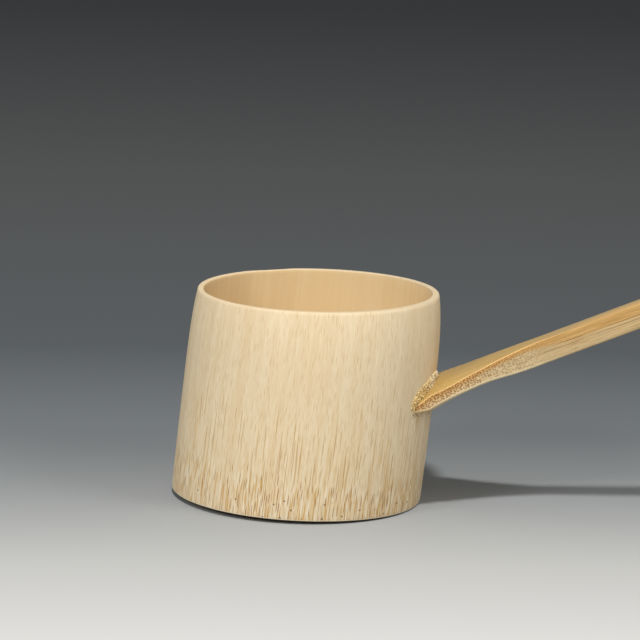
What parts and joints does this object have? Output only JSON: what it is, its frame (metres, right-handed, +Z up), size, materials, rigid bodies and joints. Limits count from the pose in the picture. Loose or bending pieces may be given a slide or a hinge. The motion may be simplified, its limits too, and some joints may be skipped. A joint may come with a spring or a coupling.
{
  "type": "bamboo water dipper",
  "caption": "Bamboo water dipper: a round cup with a thin lip, and a slanting slat handle wedged in a crescent-shaped joint in the cup's wall.",
  "frame": {"origin": "middle of the flat ring that the cup stands on", "axes": "+Z up out of the cup's mouth, +X along the handle as seen from above, +Y to the left of the handle"},
  "size_m": [0.3429, 0.06, 0.1484],
  "materials": {
    "cup_bamboo": "scraped bare bamboo, matt, with fine lengthwise fibre flecks",
    "handle_bamboo": "bare bamboo slat, satin skin side, matt cut sides with fibre dots and lines"
  },
  "bodies": {
    "root": {"cup": "cup_bamboo", "handle": "handle_bamboo"}
  },
  "joints": []
}
